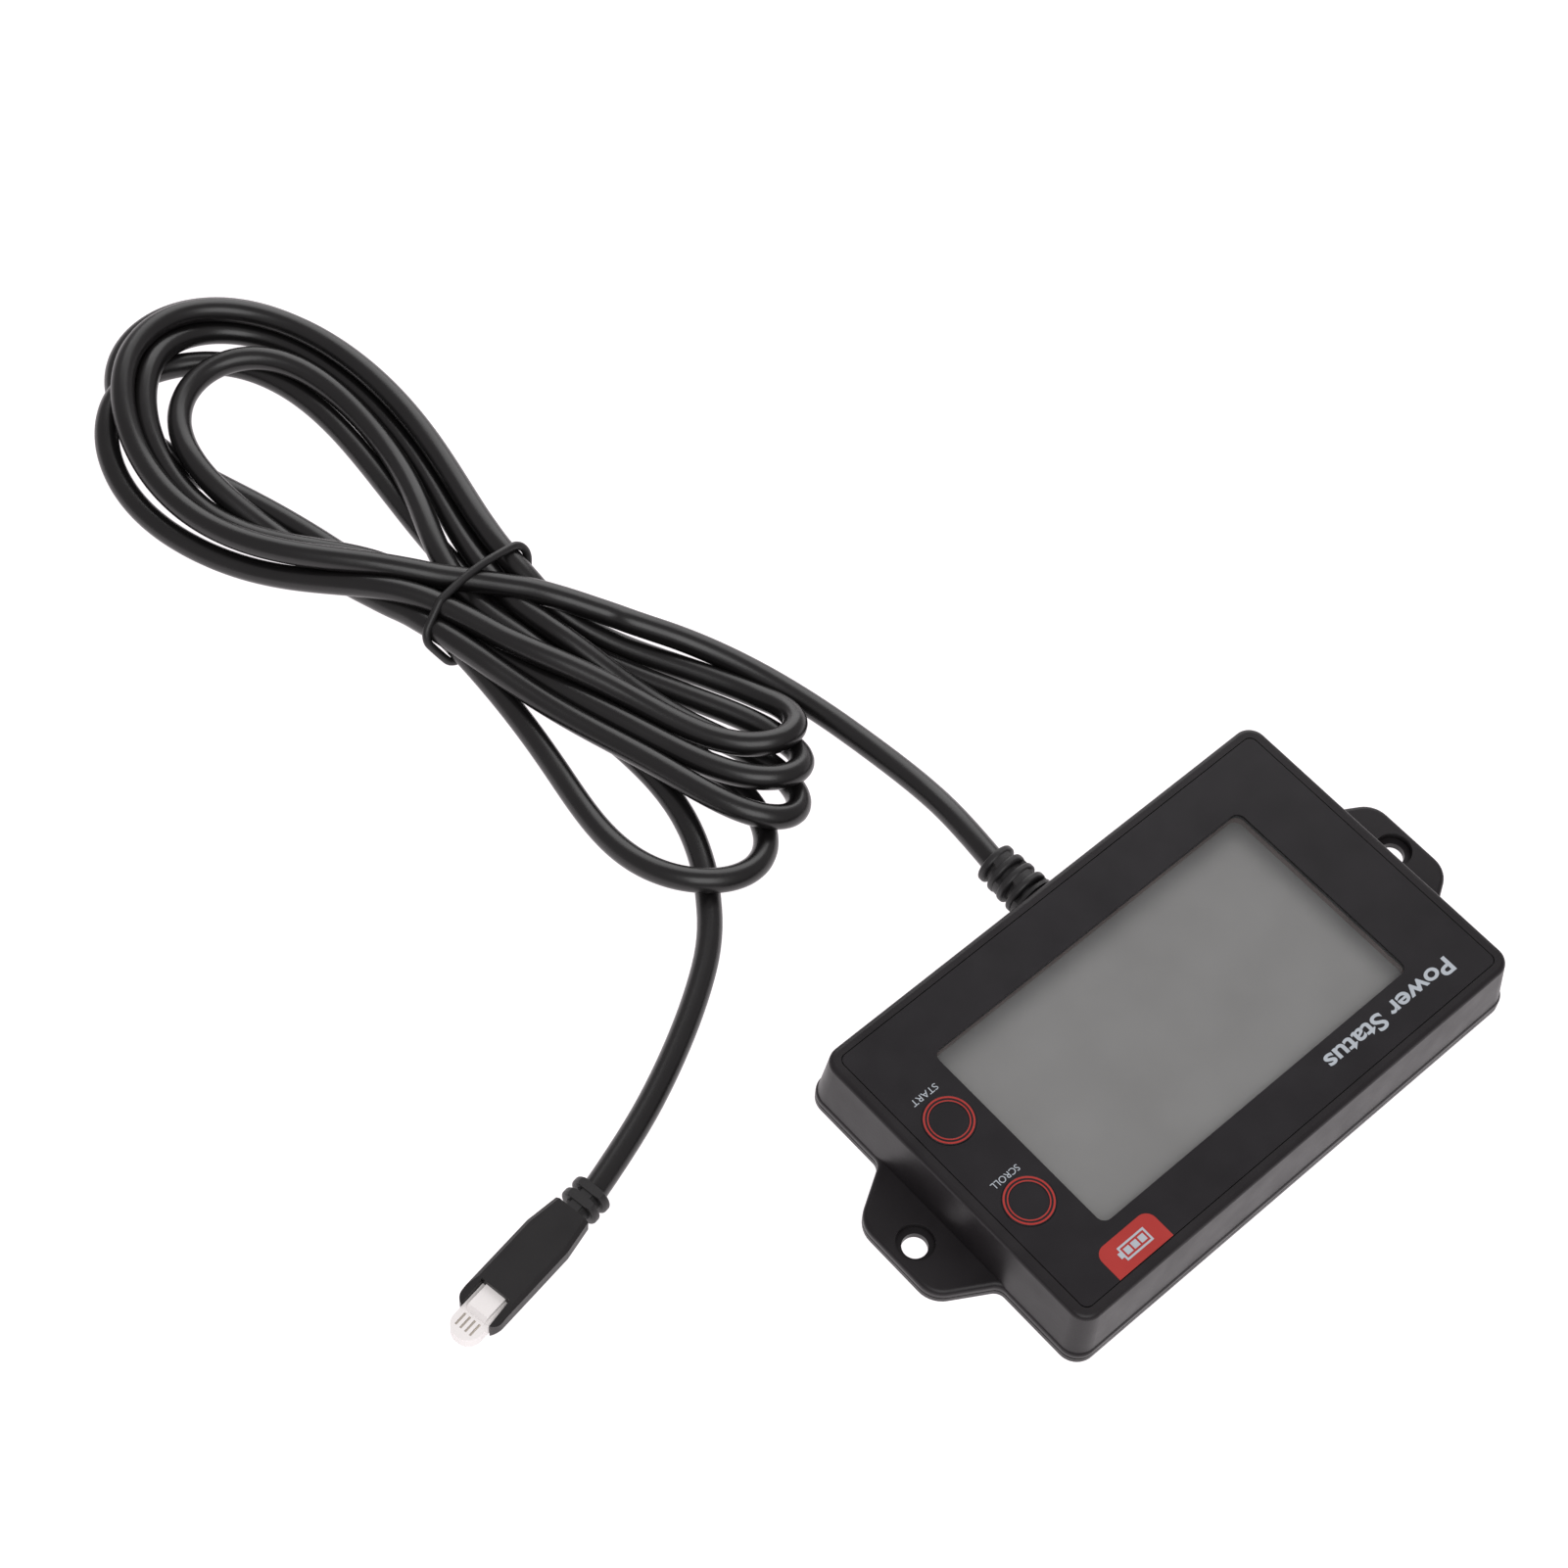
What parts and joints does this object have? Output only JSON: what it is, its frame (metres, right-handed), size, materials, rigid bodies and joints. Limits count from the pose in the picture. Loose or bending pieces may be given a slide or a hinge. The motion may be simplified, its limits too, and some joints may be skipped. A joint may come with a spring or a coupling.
{
  "type": "remote battery meter display",
  "caption": "Flat wall-mount display unit with a recessed screen, membrane keys, side ears, a moulded bend relief and a long tied cord ending in a small overmoulded plug.",
  "frame": {"origin": "bottom centre of the case, on the back face", "axes": "+X to the key side, +Y to the top edge of the face, +Z out of the screen; the cord leaves at -Y"},
  "size_m": [0.1838, 0.26, 0.0138],
  "materials": {
    "case_plastic": "fine satin spark texture, black ABS",
    "overlay_film": "matte black printed polyester film",
    "print_white": "white screen print",
    "print_red": "red screen print",
    "clear_window": "clear anti-glare film",
    "black_foam": "closed-cell foam",
    "lcd_glass": "grey reflective display, satin polariser",
    "white_plastic": "moulded white plastic",
    "light_guide": "milky light guide",
    "contact_rubber": "layered contact rubber",
    "board_laminate": "green solder mask",
    "chip_epoxy": "black epoxy",
    "component_ceramic": "ceramic and tinned ends",
    "screw_steel": "zinc-plated steel",
    "lead_insulation": "coloured lead insulation",
    "boot_rubber": "matte moulded PVC",
    "cord_jacket": "semi-matte black PVC jacket",
    "tie_plastic": "black coated wire",
    "plug_overmould": "matte black overmould",
    "connector_nylon": "natural white nylon",
    "contact_brass": "tin-plated brass",
    "switch_plastic": "black switch case"
  },
  "bodies": {
    "root": {"front_housing": "case_plastic", "back_cover": "case_plastic", "faceplate_overlay": "overlay_film", "display_window": "clear_window", "lcd_gasket": "black_foam", "lcd_glass": "lcd_glass", "lcd_frame": "white_plastic", "backlight_panel": "light_guide", "contact_strips": "contact_rubber", "circuit_board": "board_laminate", "microcontroller": "chip_epoxy", "board_components": "component_ceramic", "case_screws": "screw_steel", "board_screws": "screw_steel", "cable_header": "white_plastic", "cable_header_plug": "white_plastic", "inner_leads": "lead_insulation", "cable_boot": "boot_rubber", "cord_device_tail": "cord_jacket", "cord_hank": "cord_jacket", "cord_plug_tail": "cord_jacket", "hank_tie": "tie_plastic", "plug_strain_relief": "boot_rubber", "plug_body": "plug_overmould", "plug_connector": "connector_nylon", "plug_contacts": "contact_brass", "enter_switch_base": "switch_plastic", "select_switch_base": "switch_plastic"},
    "enter_key": {"enter_key_pad": "overlay_film", "enter_switch_stem": "chip_epoxy"},
    "select_key": {"select_key_pad": "overlay_film", "select_switch_stem": "chip_epoxy"}
  },
  "joints": [
    {"name": "enter_press", "type": "slide", "parent": "root", "child": "enter_key", "axis": [0, 0, -1], "range_m": [0, 0.00035], "stiffness_N_per_m": 700},
    {"name": "select_press", "type": "slide", "parent": "root", "child": "select_key", "axis": [0, 0, -1], "range_m": [0, 0.00035], "stiffness_N_per_m": 700}
  ]
}
